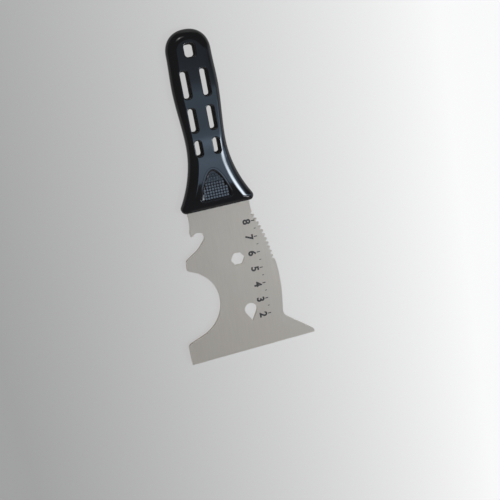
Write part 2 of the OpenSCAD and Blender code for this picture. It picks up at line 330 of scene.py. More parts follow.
def satinSteel(name, look):
    # Stainless steel, rolled and then ground to a satin with a fine belt: a pale, even grey whose
    # fine lines run the length of the blade, with faint clouds of oil film. Real lines are a few
    # hundredths of a millimetre wide, too fine to show, so they are drawn about five times wider.
    material, tree, where = newMaterial(name)
    cloud = addNode(tree, "ShaderNodeTexNoise", {
        "Scale": 1 / (look["cloud"] * mm), "Detail": 4.0}, {"Vector": where})
    lineWhere = addNode(tree, "ShaderNodeMapping", {
        "Scale": (1.0, look["lineStretch"], 1.0)}, {"Vector": where})
    lines = addNode(tree, "ShaderNodeTexNoise", {
        "Scale": 1 / (look["line"] * mm), "Detail": 3.0, "Roughness": 0.65}, {"Vector": lineWhere})
    plain, warm = (linear(colour) for colour in look["colours"])
    colour = addNode(tree, "ShaderNodeMix", {"data_type": "RGBA", 6: plain, 7: warm}, {
        "Factor": cloud})
    roughness = addNode(tree, "ShaderNodeMapRange",
                        span("From", look["lines"]) | span("To", look["roughness"]),
                        {"Value": lines})
    ground = addNode(tree, "ShaderNodeBump", {
        "Strength": 1.0, "Distance": look["lineDepth"] * mm}, {"Height": lines})
    shader = addNode(tree, "ShaderNodeBsdfPrincipled", {"Metallic": 1.0}, {
        "Base Color": colour.outputs[2], "Roughness": roughness, "Normal": ground})
    addNode(tree, "ShaderNodeOutputMaterial", links={"Surface": shader})
    return material


plastic = glossPlastic("mouldedBlackPolypropylene", plasticLook)
wornAndSheenPlastic = glossPlastic("thumbWornPaintedSheenBlackPolypropylene", pipWearAndSheenLook)
dull = speckledMatt("sparkErodedBlackPolypropylene", erodedLook)
steel = satinSteel("satinGroundStainlessSteel", steelLook)
ink = speckledMatt("padPrintedBlackInk", inkLook)
print("materials made")


handle = {
    "mouthWidth": 48.8, "waistWidth": 23.9, "bellyWidth": 27.4, "buttWidth": 26.2,
    "waistAt": 39.0, "bellyAt": 71.7, "mouthRadius": 2.8, "landRadius": 0.8,
    "flankWidth": 6.2, "waistFlank": 4.3, "bellyFlank": 5.3, "flankAt": (27, 42, 62),
    "lipLength": 3.0, "lipHeight": 2.6, "seamHeight": 0.4, "buttPower": 2.2,
    "edgeRadius": 0.55, "partingGroove": 0.06,
    "draft": 0.18,  # how much nearer each window's wall is at the parting plane, and at the back
    "guard": (0.985, 0.12, 20, 92),  # a loop just inside the flat face keeps its shading flat
    "edgeGuard": 0.07, "lookFrom": 20, "wallNear": 0.02, "merge": 0.0005, "smooth": 38,
    "flankSteps": 110, "buttSteps": 44, "cornerSteps": 14, "lipSteps": 20, "roundSteps": 14,
    "edgeSteps": 6, "windowSteps": 10,
}
handle["buttAt"] = tool["handleLength"] - handle["buttWidth"] / 2
# Windows: [distance off the axis, distance from the mouth, width, length, radius], in the front
# face. One core forms them in both halves, so they narrow a little towards the back.
windows = [[0.4, 91.8, 6.4, 7.6, 2.0]] + [
    [side * off + 0.12, at, width, length, 1.75]
    for off, at, width, length in [
        [5.35, 36.2, 4.0, 9.3], [5.55, 52.6, 4.3, 13.9], [5.75, 73.1, 4.5, 15.8]]
    for side in (-1, 1)]
grip = {
    "width": 19.0, "height": 18.7, "at": 4.8, "shoulder": 0.18, "corner": 2.2, "footSpread": 0.35,
    "shoulderRadius": 9, "crownFrom": 0.9, "crownSteps": 30, "footSteps": 8, "arcStep": 6,
    "grooveDepth": 0.014, "grooveFall": (-0.65, -0.45), "grooveRise": (-0.42, 0.45),
    "brow": (0.45, 1.0), "browRadius": 0.9, "slope": (1.0, 1.25), "cove": 0.45, "coveShare": 0.1,
    "covePower": 1.5, "margin": 0.08, "profileSteps": 8, "footShare": 0.5, "footReach": 5,
    "depth": (0.05, 1.06), "relief": (0.57, 0.3), "reliefEnds": (11.5, 18.5),
    "floorRows": 24, "floorColumns": 4, "floorGap": 0.3, "floorLeast": 0.5, "dullBeyond": 0.05,
    "pitch": 1.65, "pipWidth": 1.55, "pipTop": 1.3, "pipEdge": 0.05, "pipFoot": 0.12,
    "pipLeast": 0.3, "smooth": 20,
    "sheenAndWearAbove": 0.9,  # how nearly level a face of a pip is where thumbs have worn it and a sheen is painted on it
}
grip["inner"] = grip["slope"][1] + grip["cove"]
grip["highUpTo"] = sum(grip["reliefEnds"]) / 2  # past it the pips are low and the floor polished


def pipTopDepth(s):  # the pips' tops lie in a plane, deeper towards the arch's tip
    past = 0.1
    share = (s - grip["at"]) / grip["height"]
    return between(grip["depth"], min(1 + past, max(-past, share)))


def pipRelief(s):  # the pips stand high at the mouth and run out towards the arch's tip
    return between(grip["relief"], ease(s, *grip["reliefEnds"]))


def recessDepth(s):
    return pipTopDepth(s) + pipRelief(s)


def flank(s):  # half width of the handle at a distance from the mouth
    h = handle
    mouth, waist, belly, butt = (
        h[k] / 2 for k in ("mouthWidth", "waistWidth", "bellyWidth", "buttWidth"))
    return (waist + (mouth - waist) * max(0, 1 - s / h["waistAt"]) ** 2
            + (belly - waist) * ease(s, h["waistAt"], h["bellyAt"])
            - (belly - butt) * ease(s, h["bellyAt"], h["buttAt"]))


def flankWidth(s):  # the rounded flank is narrowest above the waist
    wide, waist, belly = handle["flankWidth"], handle["waistFlank"], handle["bellyFlank"]
    start, narrow, full = handle["flankAt"]
    return (wide + (waist - wide) * ease(s, start, narrow)
            + (belly - waist) * ease(s, narrow, full)
            + (wide - belly) * ease(s, full, handle["buttAt"]))


def land(s):  # half width of its flat face
    slope = flank(s + 0.5) - flank(s - 0.5)  # over a millimetre
    return flank(s) - flankWidth(s) * math.hypot(1, slope)


def buttPoint(turn, inset):
    radius, power = handle["buttWidth"] / 2 - inset, 2 / handle["buttPower"]
    across = 0 if turn == 1 else math.cos(turn * math.pi / 2) ** power
    up = math.sin(turn * math.pi / 2) ** power
    return Vector((radius * across, handle["buttAt"] + radius * up))


def mouthCorner(s, edge, radius):
    a, b = Vector((0, s)), Vector((edge[0], s))
    c = Vector((edge[1], s + 2 * handle["mouthRadius"]))
    bend, steps = (c - b).angle(Vector((1, 0))), handle["lipSteps"]
    rounded = arc(a, b, c, radius * math.tan(bend / 2), handle["cornerSteps"])
    return [a.lerp(rounded[0], i / steps) for i in range(steps)] + rounded


def flankSide(start, halfWidth, inset, radius):
    h = handle
    foot, steps, turns = start + 2 * h["mouthRadius"], h["flankSteps"], h["buttSteps"]
    rows = [foot + (h["buttAt"] - foot) * i / steps for i in range(1, steps + 1)]
    return (mouthCorner(start, [halfWidth(start), halfWidth(foot)], radius)
            + [Vector((halfWidth(s), s)) for s in rows]
            + [buttPoint(i / turns, inset) for i in range(1, turns + 1)])


def bothSides(side):  # closes a side over the axis, on which its first and last points lie
    return side + [Vector((-p[0], *p[1:])) for p in side[-2:0:-1]]


outerSide = flankSide(0, flank, 0, handle["mouthRadius"])
innerSide = flankSide(handle["lipLength"], land, handle["flankWidth"], handle["landRadius"])
seamSide = [
    between((handle["lipHeight"], handle["seamHeight"]),
            min(1, max(0, i - handle["lipSteps"]) / handle["cornerSteps"]))
    for i in range(len(outerSide))]


def flankRing(turn):  # one ring of the rounded flank, from 0 at the outline to 1 at the flat face
    flat, rise = math.cos(turn * math.pi / 2), math.sin(turn * math.pi / 2)
    return bothSides([
        Vector((*inner.lerp(outer, flat), between((seam, halfThickness), rise)))
        for inner, outer, seam in zip(innerSide, outerSide, seamSide)])


def windowDistance(p, window):  # from a point to a window's wall, negative inside
    x, s, width, length, radius = window
    q = Vector((abs(p.x - x) - width / 2 + radius, abs(p.y - s) - length / 2 + radius))
    return Vector((max(q.x, 0), max(q.y, 0))).length + min(max(q.x, q.y), 0) - radius


def awayFrom(p, window):  # the way out of a window at a point on its wall
    return Vector([
        windowDistance(p + step, window) - windowDistance(p - step, window)
        for step in (Vector((touching, 0)), Vector((0, touching)))]).normalized()


def windowLoop(window, grow):
    x, s, width, length, radius = window
    loop = []
    for corner, (right, up) in enumerate([(1, 1), (-1, 1), (-1, -1), (1, -1)]):
        centre = (x + right * (width / 2 - radius), s + up * (length / 2 - radius))
        loop += ringAt(centre, radius + grow, handle["windowSteps"] + 1, 90 * corner, 90)
    return loop


def inWindow(p, openings, grow=0):
    unsure = 0.1  # this near a wall, the loop that was drawn decides
    for window in openings:
        gap = windowDistance(p, window) - grow
        if gap < -unsure or gap < unsure and insideLoop(p, windowLoop(window, grow)):
            return True
    return False


def archOutline():  # the thumb grip's outline: a round-cornered foot under a pointed arch
    g = grip
    w, top, shoulder = g["width"] / 2, g["height"], g["height"] * g["shoulder"]
    start, steps = g["crownFrom"], g["crownSteps"]
    foot = roundedPath([
        [0, 0, 0], [w + g["footSpread"], 0, g["corner"]], [w, shoulder, g["shoulderRadius"]],
        [w * start, shoulder + (top - shoulder) * (1 - start ** 2), 0]], g["arcStep"], closed=False)
    crown = [Vector((x, top + (shoulder - top) * (x / w) ** 2)) for x in (
        w * start * (1 - k / steps) for k in range(1, steps + 1))]
    bottom = [foot[0].lerp(foot[1], k / g["footSteps"]) for k in range(g["footSteps"])]
    return [p + Vector((0, g["at"])) for p in bothSides(bottom + foot[1:] + crown)]


def drawnIn(loop, inset):  # a closed outline, moved inwards
    moved = []
    for before, p, after in zip(loop[-1:] + loop[:-1], loop, loop[1:] + loop[:1]):
        along = ((p - before).normalized() + (after - p).normalized()).normalized()
        moved.append(p + inset * Vector((-along.y, along.x)))
    return moved


def archLoop(inset):  # its slope is narrower along the foot than along the sides
    sink = inset * grip["footShare"]
    return [p - Vector((0, sink * (1 - ease(p.y - grip["at"] - inset, 0, grip["footReach"]))))
            for p in drawnIn(archOutline(), inset)]


def edgeDrop(distance, radius):  # how far a rounded edge has fallen at a distance from its wall
    return radius - math.sqrt(max(0, radius ** 2 - (radius - min(radius, distance)) ** 2))


def gripProfile():
    # [inset, depth, share of the recess's depth] over the groove, the brow, the slope and its cove
    g = grip
    shares = [k / g["profileSteps"] for k in range(g["profileSteps"] + 1)]
    rows = [[g["grooveFall"][0] - g["margin"], 0, 0]]
    rows += [[between(g["grooveFall"], t), g["grooveDepth"] * ease(t), 0] for t in shares]
    rows += [[between(g["grooveRise"], t), g["grooveDepth"] * (1 - ease(t)), 0] for t in shares]
    browWidth = g["brow"][1] - g["brow"][0]
    rows += [[between(g["brow"], t), (browWidth * t) ** 2 / (2 * g["browRadius"]), 0]
             for t in shares[1:]]
    browDepth = rows[-1][1]
    rows += [[between(g["slope"], t), browDepth * (1 - t), (1 - g["coveShare"]) * t]
             for t in shares[1:]]
    rows += [[g["slope"][1] + g["cove"] * t, 0, 1 - g["coveShare"] * (1 - t) ** g["covePower"]]
             for t in shares[1:]]
    return rows + [[g["inner"] + g["margin"], 0, 1]]


def floorPoints():  # (x, distance from the mouth) all over the floor of the recess
    inner = archLoop(grip["inner"] + grip["floorGap"])
    rows, columns, points = grip["floorRows"], grip["floorColumns"], []
    for k in range(1, rows):
        s = grip["at"] + grip["height"] * k / rows
        crossed = (p.x for p, q in zip(inner, inner[1:]) if (p.y - s) * (q.y - s) <= 0)
        reach = max(crossed, default=0)
        if reach > grip["floorLeast"]:
            points += [(reach * t / columns, s) for t in range(-columns, columns + 1)]
    return points


def halfShell(facing):
    # Flat outlines of everything in a half's face are filled with triangles, which are then lifted
    # to the rounded flank and let down into the recess and over the windows' edges
    h, draft = handle, handle["draft"]
    lean = -draft if facing > 0 else draft
    openings = windows if facing > 0 else [
        [x, at, w - 4 * draft, l - 4 * draft, r - 2 * draft] for x, at, w, l, r in windows]
    rings = [flankRing(k / h["roundSteps"]) for k in range(h["roundSteps"] + 1)]
    n = len(rings[0])
    plain = [p for ring in rings for p in ring]
    quads = [(a * n + i, a * n + (i + 1) % n, (a + 1) * n + (i + 1) % n, (a + 1) * n + i)
             for a in range(len(rings) - 1) for i in range(n)]
    surface = BVHTree.FromPolygons([tuple(p) for p in plain], quads)

    inwardShare, inwardStep, low, high = h["guard"]
    guard = [Vector((p.x * inwardShare,
                     p.y + (inwardStep if p.y < low else -inwardStep if p.y > high else 0)))
             for p in rings[-1]]
    loops = [[p.xy for p in ring] for ring in rings] + [guard]
    grown = [h["edgeRadius"] * (1 - math.cos(math.radians(90 * k / h["edgeSteps"])))
             for k in range(h["edgeSteps"] + 1)] + [h["edgeRadius"] + h["edgeGuard"]]
    for window in openings:
        loops += [windowLoop(window, grow) for grow in grown]
    firstDeep, depths = sum(len(loop) for loop in loops), []
    for inset, depth, share in gripProfile():
        loops.append(archLoop(inset))
        depths += [depth + share * recessDepth(p.y) for p in loops[-1]]
    points, edges = outlines(loops)
    for x, s in floorPoints():
        points.append(Vector((x, s)))
        depths.append(recessDepth(s))

    found, origins, faces = fillIn(points, edges, apart=1e-5)
    verts = []
    for p, origin in zip(found, origins):
        z = max((plain[i].z for i in origin if i < len(plain)), default=None)
        if z is None:
            hit = surface.ray_cast(Vector((p.x, p.y, h["lookFrom"])), Vector((0, 0, -1)))[0]
            z = hit.z if hit else halfThickness
        gap = min(windowDistance(p, window) for window in openings)
        z -= next((depths[i - firstDeep] for i in origin if i >= firstDeep), 0)
        verts.append(Vector((p.x, p.y, z - edgeDrop(max(0, gap), h["edgeRadius"]))))
    kept = [(list(face), middle) for face, middle in faces if not inWindow(middle, openings)]
    top, recess = [face for face, _ in kept], archLoop(grip["inner"] - grip["dullBeyond"])
    dullTop = [middle.y < grip["highUpTo"] and insideLoop(middle, recess) for _, middle in kept]

    # The rim of every opening and of the outline, then the walls down to the parting plane, where
    # the halves meet in a fine groove
    sides = dict.fromkeys((a, b) for face in top for a, b in zip(face, face[1:] + face[:1]))
    rim = [(a, b) for a, b in sides if (b, a) not in sides]
    rimPoints = sorted({i for pair in rim for i in pair})
    inwards = {i: Vector((0, 0)) for i in rimPoints}
    for a, b in rim:
        along = (found[b] - found[a]).normalized()
        for i in (a, b):
            inwards[i] += Vector((-along.y, along.x))
    groove, leaning = h["partingGroove"], {}
    for i in rimPoints:
        nearest = min(openings, key=lambda window: windowDistance(found[i], window))
        leaning[i] = lean if windowDistance(found[i], nearest) < h["wallNear"] else 0
        if leaning[i]:
            inwards[i] = awayFrom(found[i], nearest)
    levels = []
    for step, z in ((0, groove), (groove, 0)):
        levels.append({i: len(verts) + k for k, i in enumerate(rimPoints)})
        verts += [Vector((*(found[i] + (leaning[i] + step) * inwards[i].normalized()), z))
                  for i in rimPoints]
    ledge, lower = levels
    walls = [[b, a, ledge[a], ledge[b]] for a, b in rim]
    walls += [[ledge[b], ledge[a], lower[a], lower[b]] for a, b in rim]
    index = {i: k for k, i in enumerate(rimPoints)}
    _, _, under = fillIn(
        [Vector(verts[lower[i]][:2]) for i in rimPoints], [(index[a], index[b]) for a, b in rim])
    base = [[lower[rimPoints[i]] for i in reversed(face)]
            for face, middle in under if not inWindow(middle, openings, groove + lean)]
    dullWalls = [leaning[a] != 0 for a, b in rim]
    return verts, top + walls + base, dullTop + 2 * dullWalls + [False] * len(base)


pocket = {
    "reach": 27.4, "neckWidth": 38.6, "endWidth": 17.8, "depth": 0.85, "shoulder": 2.0,
    "peg": 3.1, "pegs": [(-8, 10.5), (8, 10.5), (0, 20.5)], "pegSteps": 32,
}


def extruded(loops, low, high):  # a flat shape with its holes, given its thickness
    flat, _, faces = fillIn(*outlines(loops))
    work = bmesh.new()
    corners = [work.verts.new((p.x, p.y, low)) for p in flat]
    drawn = [work.faces.new([corners[i] for i in face]) for face, middle in faces
             if not any(insideLoop(middle, hole) for hole in loops[1:])]
    grown = bmesh.ops.extrude_face_region(work, geom=drawn)
    for v in grown["geom"]:
        if isinstance(v, bmesh.types.BMVert):
            v.co.z = high
    bmesh.ops.recalc_face_normals(work, faces=work.faces)
    return closeMesh(work, bpy.data.meshes.new("extruded"))


def pocketCutter(facing):  # the room that the blade's tang takes up in a half, less the pegs
    p, past = pocket, 1  # the cutter reaches past the mouth and past the parting plane
    neck, end = p["neckWidth"] / 2, p["endWidth"] / 2
    side = [(neck, -past), (neck, p["shoulder"]), (end, p["reach"])]
    loop = [Vector(c) for c in side] + [Vector((-x, y)) for x, y in reversed(side)]
    pegs = [ringAt(place, p["peg"], p["pegSteps"]) for place in p["pegs"]]
    low, high = (-past, p["depth"]) if facing > 0 else (-p["depth"], past)
    mesh = extruded([loop] + pegs, low, high)
    mesh.transform(Matrix.Translation((0, tool["bladeLength"], 0)))
    return linkObject("pocketCutter", mesh)


def makeHalf(name, facing):
    verts, faces, dullFaces = halfShell(facing)
    mesh = bpy.data.meshes.new(name)
    mesh.from_pydata([(v.x, v.y + tool["bladeLength"], v.z * facing) for v in verts], [],
                     faces if facing > 0 else [face[::-1] for face in faces])
    for material in (plastic, dull):
        mesh.materials.append(material)
    for polygon, isDull in zip(mesh.polygons, dullFaces):
        polygon.material_index = int(isDull)
    work = openMesh(mesh)
    bmesh.ops.remove_doubles(work, verts=work.verts, dist=handle["merge"])
    bmesh.ops.recalc_face_normals(work, faces=work.faces)
    piece, cutter = linkObject(name, closeMesh(work, mesh)), pocketCutter(facing)
    cut = piece.modifiers.new("pocket", "BOOLEAN")
    cut.object, cut.operation, cut.solver = cutter, "DIFFERENCE", "EXACT"
    bakeModifiers(piece)
    bpy.data.objects.remove(cutter)
    work = openMesh(piece.data)
    bmesh.ops.triangulate(work, faces=[f for f in work.faces if len(f.verts) > 4])
    closeMesh(work, piece.data).transform(toRow)
    smoothBelow(piece.data, handle["smooth"])
    return piece


handleFront = makeHalf("handleFront", 1)
handleBack = makeHalf("handleBack", -1)
print("handle made")


def layPips(tree, given):
    # Square pips on a grid over the floor of the recess, where the arch leaves them room
    grid = addNode(tree, "GeometryNodeMeshGrid", links={
        "Size X": given["Grid width"], "Size Y": given["Grid height"],
        "Vertices X": given["Columns"], "Vertices Y": given["Rows"]})
    lift = addNode(tree, "ShaderNodeCombineXYZ", links={"Y": given["Lift"]})
    laid = addNode(tree, "GeometryNodeTransform", links={0: grid, "Translation": lift})
    position = addNode(tree, "GeometryNodeInputPosition")
    place = addNode(tree, "ShaderNodeSeparateXYZ", links={0: position}).outputs
    reach = addNode(tree, "ShaderNodeMath", {"operation": "DIVIDE"}, {
        0: place["X"], 1: given["Arch width"]})
    curve = addNode(tree, "ShaderNodeMath", {"operation": "MULTIPLY"}, {0: reach, 1: reach})
    limit = addNode(tree, "ShaderNodeMath", {"operation": "MULTIPLY_ADD"}, {
        0: curve, 1: given["Arch fall"], 2: given["Arch height"]})
    over = addNode(tree, "ShaderNodeMath", {"operation": "GREATER_THAN"}, {
        0: place["Y"], 1: limit})
    kept = addNode(tree, "GeometryNodeDeleteGeometry", {"domain": "POINT"}, {
        0: laid, "Selection": over})
    pip = addNode(tree, "GeometryNodeMeshCone", {"Vertices": 4}, {
        "Radius Bottom": given["Foot radius"], "Radius Top": given["Top radius"],
        "Depth": given["Pip height"]})
    turned = addNode(tree, "GeometryNodeTransform", {"Rotation": (0, 0, math.radians(45))}, {
        0: pip})
    return addNode(tree, "GeometryNodeInstanceOnPoints", links={"Points": kept, "Instance": turned})


def pipRoom(x, s):  # how far sideways a pip may reach: the slope cuts into the outer ones
    inset, side = grip["slope"][1], grip["width"] / 2
    top = grip["height"] - inset * (1 - grip["footShare"])
    shoulder = grip["shoulder"] * grip["height"]
    share = (top - (s - grip["at"])) / (top - shoulder)
    room = (side - inset) * math.sqrt(min(1, max(0, share)))
    column = abs(round(x / grip["pitch"])) * grip["pitch"]
    return max(room, column - grip["pipWidth"] / 2 + grip["pipLeast"])


def makePips(name, facing):
    g, inner, pitch, halfDiagonal = grip, grip["inner"], grip["pitch"], math.sqrt(0.5)
    wide, high = g["width"] / 2 - inner, g["height"] - inner * (2 - g["footShare"])
    half, rows, tall = int(wide / pitch), int(high / pitch), g["relief"][0] + g["pipFoot"]
    piece = growPiece(name, {
        "Columns": 2 * half + 1, "Grid width": 2 * half * pitch,
        "Rows": rows, "Grid height": (rows - 1) * pitch, "Lift": rows * pitch / 2,
        "Foot radius": g["pipWidth"] * halfDiagonal, "Top radius": g["pipTop"] * halfDiagonal,
        "Pip height": tall, "Arch width": wide, "Arch height": high,
        "Arch fall": (g["shoulder"] - 1) * high}, plastic, layPips)
    work = openMesh(piece.data)
    bmesh.ops.remove_doubles(work, verts=work.verts, dist=touching)
    bmesh.ops.bevel(work, geom=list(work.edges), offset=g["pipEdge"], segments=1,
                    affect="EDGES", material=-1)
    start = g["at"] + inner * (1 - g["footShare"])
    for v in work.verts:  # tops into their sloping plane, feet a little into the floor
        v.co.y += start
        room = pipRoom(v.co.x, v.co.y)
        v.co.x = min(room, max(-room, v.co.x))
        share = (pipRelief(v.co.y) + g["pipFoot"]) / tall
        v.co.z = halfThickness - pipTopDepth(v.co.y) + (v.co.z - tall) * share
        v.co.y += tool["bladeLength"]
    if facing < 0:  # scaled, as points that are only moved would leave the faces inside out
        bmesh.ops.scale(work, verts=work.verts, vec=(1, 1, -1))
    bmesh.ops.recalc_face_normals(work, faces=work.faces)
    closeMesh(work, piece.data).materials.append(wornAndSheenPlastic)
    for polygon in piece.data.polygons:  # thumbs wear the tops, as far as the pips stand high, and a sheen is painted on them
        reached = polygon.center.y - tool["bladeLength"] < g["highUpTo"]
        polygon.material_index = int(reached and polygon.normal.z * facing > g["sheenAndWearAbove"])
    piece.data.transform(toRow)
    smoothBelow(piece.data, g["smooth"])
    return piece


gripPipsFront = makePips("gripPipsFront", 1)
gripPipsBack = makePips("gripPipsBack", -1)
print("pips made", len(gripPipsFront.data.polygons))


blade = {
    "width": 80.0, "thickness": 1.5, "neckWidth": 38.2, "heel": 13.0, "toe": 1.9, "bevel": 3.0,
    "edgeThickness": 0.4, "rollerRadius": 21.9, "rollerAt": 37.2, "rollerTurn": 70.4,
    "rollerInset": 2.7, "hookRadius": 3.5, "hookX": -15.4, "hookY": 76.9, "hookSpread": 1.37,
    "hex": 7.5, "hexAt": (5.7, 58.8),
    "dropRadius": 3.9, "dropReach": 7.7, "dropAt": (7.9, 25.5), "dropSteps": 60,
    "saw": {"length": 31.1, "pitch": 2.83, "height": 1.85, "sunk": 0.65, "foot": (27, 54.1),
            "radius": 108, "heading": 96.5, "lean": 0.58},
    "tang": {"length": 27, "endWidth": 17, "shoulder": 1.6, "hole": 3.3, "holeSteps": 36,
             "holes": [(-8, 10.5), (8, 10.5), (0, 20.5)]},
    "arris": 0.07, "arcStep": 3, "merge": 0.002, "cutNear": 0.0005, "smooth": 12,
}


def sawTeeth():  # along an arc, each with its tip past the middle
    saw, heading = blade["saw"], math.radians(blade["saw"]["heading"])
    centre = Vector(saw["foot"]) + saw["radius"] * Vector((-math.sin(heading), math.cos(heading)))
    count = round(saw["length"] / saw["pitch"])
    step, gullet, tip = saw["length"] / count, -saw["sunk"], saw["height"] - saw["sunk"]

    def sawAt(along, off):
        g = heading + along / saw["radius"]
        return [*(centre + (saw["radius"] + off) * Vector((math.sin(g), -math.cos(g)))), 0]

    teeth = []
    for k in range(count):
        teeth += [sawAt(k * step, gullet), sawAt((k + saw["lean"]) * step, tip)]
    return teeth + [sawAt(count * step, gullet)]


def plateOutline():
    b, tang = blade, blade["tang"]
    left, right = tool["shift"] - b["width"] / 2, tool["shift"] + b["width"] / 2
    rollerX = left + b["rollerInset"] + b["rollerRadius"]
    rollerBend = b["rollerRadius"] * math.tan(math.radians(b["rollerTurn"] / 2))
    hookX, hookY, hookBend = b["hookX"], b["hookY"], b["hookRadius"] * b["hookSpread"]
    neck, mouth, end = b["neckWidth"] / 2, tool["bladeLength"], tang["endWidth"] / 2
    shoulderY, endY = mouth + tang["shoulder"], mouth + tang["length"]
    # Corners as [x, y, radius]: the edge and the right side, the teeth, the neck and the tang, the
    # left neck, the hook with its notch, the nose, the big round recess and the heel
    corners = [[left, 0, 0.5], [right, 0, 0.3], [right, b["toe"], 1.5],
               [27.4, 16.7, 6.1], [30.4, 39.4, 90], [28.5, 53.3, 0.9]]
    corners += sawTeeth()
    corners += [[neck + 0.4, 85.7, 1.2], [neck, 88.6, 4], [neck, shoulderY, 3], [end, endY, 3],
                [-end, endY, 3], [-neck, shoulderY, 3], [-neck, 84.9, 6]]
    corners += [[-20, 81.2, 2.5], [-19.7, hookY + 0.9, 0.65],
                [hookX + 0.2, hookY + hookBend, b["hookRadius"]],
                [hookX + hookBend, hookY + 0.1, b["hookRadius"]],
                [-17.3, 70, 10], [-25.4, 65.1, 1.8], [-26.3, 58.7, 2.2]]
    corners += [[rollerX, b["rollerAt"] + rollerBend, b["rollerRadius"]],
                [rollerX, b["rollerAt"] - rollerBend, b["rollerRadius"]], [left, b["heel"], 2.5]]
    return roundedPath(corners, b["arcStep"])


def plateHoles():  # the hexagon, the teardrop with its tip down, and the tang's holes
    b, tang = blade, blade["tang"]
    flats = b["hex"] / 2 / math.cos(math.radians(30))
    tip = math.degrees(math.acos(b["dropRadius"] / b["dropReach"]))
    drop = ringAt(b["dropAt"], b["dropRadius"], b["dropSteps"], -90 + tip, 360 - 2 * tip)
    drop.append(Vector(b["dropAt"]) - Vector((0, b["dropReach"])))
    return [ringAt(b["hexAt"], flats, 6), drop] + [
        ringAt((x, tool["bladeLength"] + s), tang["hole"], tang["holeSteps"])
        for x, s in tang["holes"]]


def makeBlade():
    b = blade
    curve = bpy.data.curves.new("plate", "CURVE")
    curve.dimensions, curve.fill_mode = "2D", "BOTH"
    curve.extrude = b["thickness"] / 2 - b["arris"]
    curve.bevel_depth, curve.bevel_resolution, curve.offset = b["arris"], 1, -b["arris"]
    for loop in [plateOutline()] + plateHoles():
        spline = curve.splines.new("POLY")
        spline.points.add(len(loop) - 1)
        spline.use_cyclic_u = True
        for point, p in zip(spline.points, loop):
            point.co = (p.x, p.y, 0, 1)
    mesh = meshOf(curve)
    work = openMesh(mesh)
    bmesh.ops.remove_doubles(work, verts=work.verts, dist=b["merge"])
    slope = (b["thickness"] - b["edgeThickness"]) / b["bevel"]
    cut = bmesh.ops.bisect_plane(  # grinds the bevel on the back of the edge
        work, geom=work.verts[:] + work.edges[:] + work.faces[:], dist=b["cutNear"],
        plane_co=(0, 0, b["thickness"] / 2 - b["edgeThickness"]), plane_no=(0, -slope, -1),
        clear_outer=True)
    cutEdges = [e for e in cut["geom_cut"] if isinstance(e, bmesh.types.BMEdge)]
    bmesh.ops.holes_fill(work, edges=cutEdges, sides=0)
    bmesh.ops.triangulate(work, faces=[f for f in work.faces if len(f.verts) > 4])
    bmesh.ops.recalc_face_normals(work, faces=work.faces)
    closeMesh(work, mesh).transform(toRow)
    mesh.materials.clear()
    mesh.materials.append(steel)
    smoothBelow(mesh, b["smooth"])
    return linkObject("scraperBlade", mesh)


scraperBlade = makeBlade()
print("blade made")


# The centimetre scale that is printed on the blade
scale = {
    "from": 20, "to": 80, "step": 5.0, "right": 20.0, "ink": 0.014,
    "tick": 0.45, "boldTick": 0.6, "short": 1.2, "long": 2.0,
    "figures": (2, 3, 4, 5, 6, 7, 8), "figureHeight": 4.7, "figureAt": 12.9, "bold": 0.04,
    "figureBody": 0.2, "weld": 0.07,
}


def layTicks(tree, given):
    # A line every five millimetres, longer and bolder at the whole centimetres
    offset = addNode(tree, "ShaderNodeCombineXYZ", links={"Y": given["Step"]})
    line = addNode(tree, "GeometryNodeMeshLine", links={"Count": given["Count"], "Offset": offset})
    index = addNode(tree, "GeometryNodeInputIndex")
    odd = addNode(tree, "ShaderNodeMath", {"operation": "MODULO", 1: 2.0}, {0: index})
    length = addNode(tree, "ShaderNodeMix", links={0: odd, 2: given["Long"], 3: given["Short"]})
    width = addNode(tree, "ShaderNodeMix", links={0: odd, 2: given["Bold"], 3: given["Thin"]})
    size = addNode(tree, "ShaderNodeCombineXYZ", links={"X": length, "Y": width, "Z": given["Ink"]})
    cube = addNode(tree, "GeometryNodeMeshCube")
    bar = addNode(tree, "GeometryNodeTransform", {"Translation": (-0.5, 0, 0)}, {0: cube})
    return addNode(tree, "GeometryNodeInstanceOnPoints", links={
        "Points": line, "Instance": bar, "Scale": size})


def makeTicks():
    piece = growPiece("scaleTicks", {
        "Count": round((scale["to"] - scale["from"]) / scale["step"]) + 1, "Step": scale["step"],
        "Short": scale["short"], "Long": scale["long"], "Thin": scale["tick"],
        "Bold": scale["boldTick"], "Ink": scale["ink"]}, ink, layTicks)
    start = Matrix.Translation((scale["right"], scale["from"], blade["thickness"] / 2))
    piece.data.transform(start)
    piece.data.transform(toRow)
    return piece


def figureMesh(number):
    figure = bpy.data.curves.new("figure", "FONT")
    figure.body, figure.extrude = str(number), scale["figureBody"] / 2
    figure.resolution_u, figure.offset = 4, scale["bold"]
    return meshOf(figure)


def makeFigures():
    # Figures read down the blade, their heads towards the teeth
    work, quarterTurn = bmesh.new(), Matrix.Rotation(math.radians(-90), 4, "Z")
    size = scale["figureHeight"] / max(v.co.y for v in figureMesh(8).vertices)
    for number in scale["figures"]:
        mesh = figureMesh(number)
        middle = 0.5 * (max(v.co.x for v in mesh.vertices) + min(v.co.x for v in mesh.vertices))
        mesh.transform(Matrix.Translation((-middle, 0, 0)))
        mesh.transform(Matrix.Diagonal((size, size, 1, 1)))
        place = Matrix.Translation((scale["figureAt"], centimetre * number, 0))
        mesh.transform(place @ quarterTurn)
        work.from_mesh(mesh)
    # Bold strokes cross themselves in the notches, which welding clears while the figures are thick
    bmesh.ops.remove_doubles(work, verts=work.verts, dist=scale["weld"])
    bmesh.ops.recalc_face_normals(work, faces=work.faces)
    bmesh.ops.scale(work, verts=work.verts, vec=(1, 1, scale["ink"] / scale["figureBody"]))
    bmesh.ops.translate(work, verts=work.verts, vec=(0, 0, blade["thickness"] / 2))
    mesh = closeMesh(work, bpy.data.meshes.new("scaleFigures"))
    mesh.transform(toRow)
    mesh.materials.append(ink)
    return linkObject("scaleFigures", mesh)


